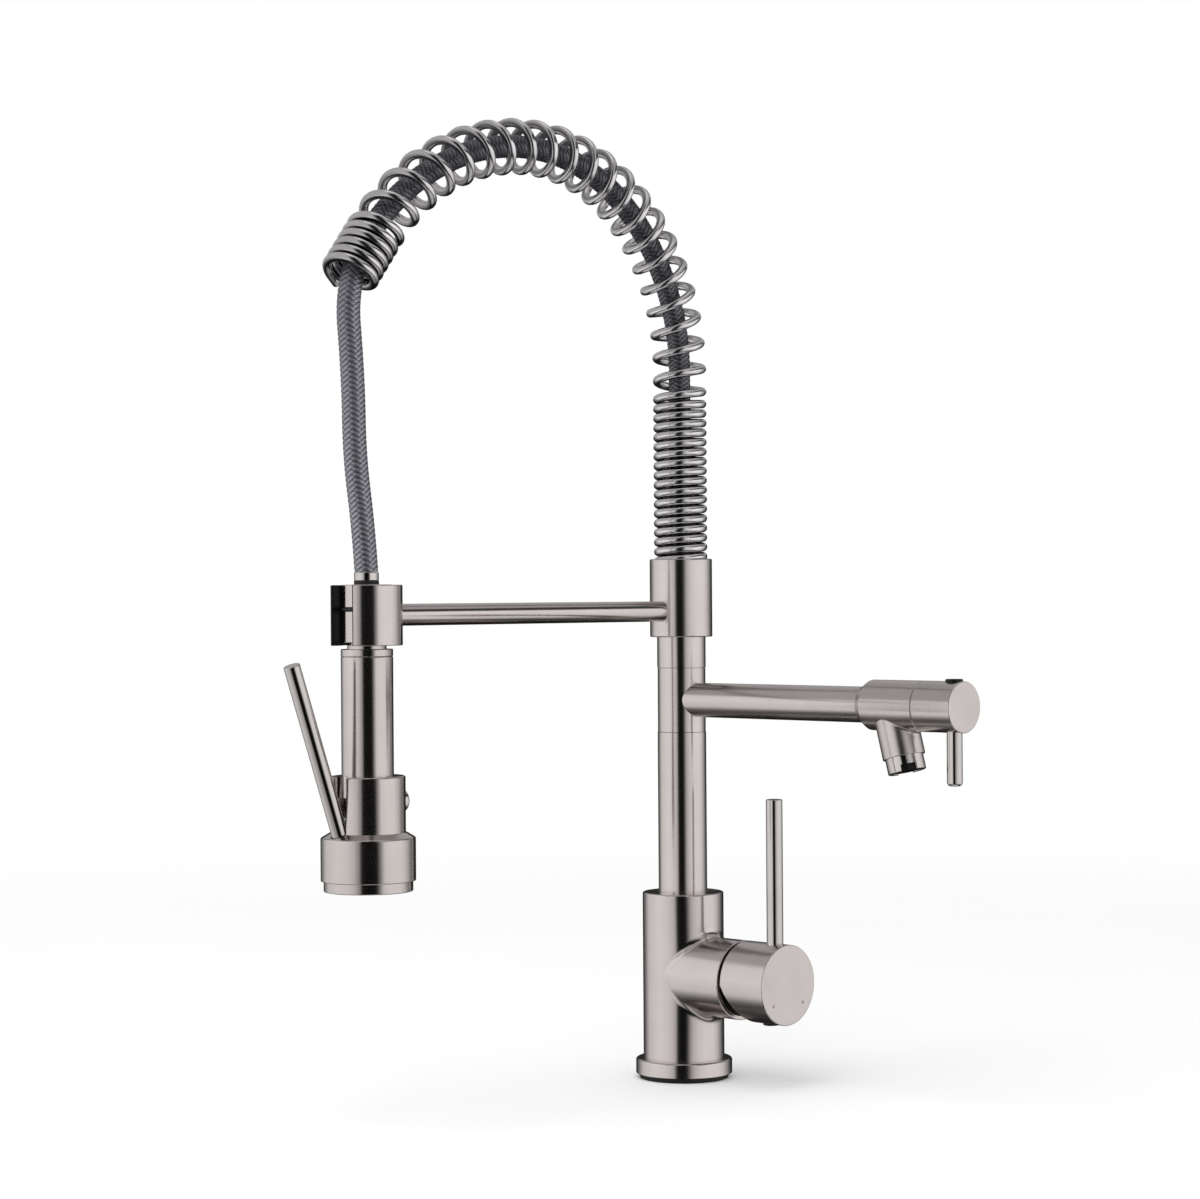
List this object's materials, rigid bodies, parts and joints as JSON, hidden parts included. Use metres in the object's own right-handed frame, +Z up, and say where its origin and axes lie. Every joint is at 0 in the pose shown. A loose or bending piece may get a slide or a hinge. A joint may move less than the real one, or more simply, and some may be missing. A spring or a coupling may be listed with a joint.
{
  "type": "kitchen faucet",
  "caption": "Deck-mounted kitchen faucet with a spring-arched pull-down spray on a swivelling bracket, a swinging pot filler arm and a single side lever mixer.",
  "frame": {"origin": "column axis at the deck surface under the base gasket", "axes": "+Z up the column, -Y towards the spray head, +X towards the mixer handle and the resting pot filler"},
  "size_m": [0.224, 0.3091, 0.58],
  "materials": {
    "brushed_nickel": "brushed nickel",
    "polished_nickel": "polished nickel",
    "spring_nickel": "satin nickel wire",
    "braided_hose": "woven braid",
    "black_rubber": "matt",
    "black_plastic": "satin",
    "grey_plastic": "moulded",
    "brass": "machined",
    "steel": "stainless"
  },
  "bodies": {
    "base": {"base_gasket": "black_rubber", "mounting_shank": "brass", "base_ring": "brushed_nickel", "valve_body": "brushed_nickel", "mixer_cartridge": "grey_plastic", "cartridge_nut": "brass", "lower_column": "brushed_nickel", "upper_column": "brushed_nickel", "column_spine": "brass", "column_bushes": "grey_plastic", "hub_seals": "black_rubber", "hub_washers": "black_plastic"},
    "clamp": {"rubber_washer": "black_rubber", "steel_washer": "steel", "locknut": "brass"},
    "mixer_rotor": {"cartridge_rotor": "grey_plastic", "stem_pin": "polished_nickel"},
    "mixer_handle": {"cartridge_stem": "brass", "handle_cap": "brushed_nickel", "mixer_lever": "polished_nickel", "handle_screw": "steel", "handle_plug": "black_plastic"},
    "pot_filler": {"swivel_hub": "brushed_nickel", "filler_arm": "brushed_nickel", "filler_body": "brushed_nickel", "filler_cartridge": "grey_plastic", "filler_nut": "brass", "aerator_ring": "brushed_nickel", "aerator_screen": "black_plastic"},
    "filler_handle": {"filler_spindle": "brass", "filler_cap": "brushed_nickel", "filler_lever": "polished_nickel", "filler_screw": "steel", "filler_plug": "black_plastic"},
    "spout": {"bracket_sleeve": "brushed_nickel", "sleeve_bush": "black_plastic", "bracket_rod": "brushed_nickel", "hose_holder": "brushed_nickel", "holder_liner": "black_plastic", "spring": "spring_nickel", "hose_swivel": "brass", "lower_ferrule": "brass", "spray_hose": "braided_hose"},
    "spray_head": {"hose_seal": "black_rubber", "hose_ferrule": "polished_nickel", "spray_neck": "brushed_nickel", "neck_o_ring": "black_rubber", "handle_ring": "brushed_nickel", "spray_handle": "brushed_nickel", "water_tube": "grey_plastic", "spray_body": "brushed_nickel", "spray_bell": "brushed_nickel", "face_bezel": "brushed_nickel", "spray_face": "grey_plastic", "spray_nozzles": "black_rubber", "stream_nozzle": "grey_plastic", "trigger_pin": "polished_nickel"},
    "trigger": {"trigger_lever": "polished_nickel"},
    "plunger": {"valve_plunger": "polished_nickel"},
    "button": {"mode_button": "brushed_nickel"}
  },
  "joints": [
    {"name": "clamp_travel", "type": "slide", "parent": "base", "child": "clamp", "axis": [0, 0, -1], "range_m": [-0.03, 0.12]},
    {"name": "mixer_turn", "type": "hinge", "parent": "base", "child": "mixer_rotor", "pos_m": [0.03, 0, 0.0575], "axis": [1, 0, 0], "range_deg": [-45, 45]},
    {"name": "mixer_tilt", "type": "hinge", "parent": "mixer_rotor", "child": "mixer_handle", "pos_m": [0.03, 0, 0.0575], "axis": [0, 1, 0], "range_deg": [0, 25]},
    {"name": "filler_swivel", "type": "hinge", "parent": "base", "child": "pot_filler", "pos_m": [0, 0, 0.20985], "axis": [0, 0, 1], "continuous": true},
    {"name": "filler_valve", "type": "hinge", "parent": "pot_filler", "child": "filler_handle", "pos_m": [0.172, 0, 0.20985], "axis": [-1, 0, 0], "range_deg": [0, 90]},
    {"name": "spout_swivel", "type": "hinge", "parent": "base", "child": "spout", "pos_m": [0, 0, 0.2515], "axis": [0, 0, 1], "continuous": true},
    {"name": "spray_pull", "type": "slide", "parent": "spout", "child": "spray_head", "axis": [0, 0, -1], "range_m": [0, 0.06], "deforming": ["spray_hose"]},
    {"name": "trigger_squeeze", "type": "hinge", "parent": "spray_head", "child": "trigger", "pos_m": [0, -0.2453, 0.14115], "axis": [-1, 0, 0], "range_deg": [0, 13], "stiffness_Nm_per_rad": 0.6, "springref_deg": -5.73},
    {"name": "plunger_push", "type": "slide", "parent": "spray_head", "child": "plunger", "axis": [0, 1, 0], "range_m": [0, 0.0028]},
    {"name": "button_press", "type": "slide", "parent": "spray_head", "child": "button", "axis": [0, -1, 0], "range_m": [0, 0.003], "stiffness_N_per_m": 400, "springref_m": -0.002}
  ],
  "couplings": [
    {"joint": "plunger_push", "follows": "trigger_squeeze", "m_per_rad": 0.0122}
  ]
}
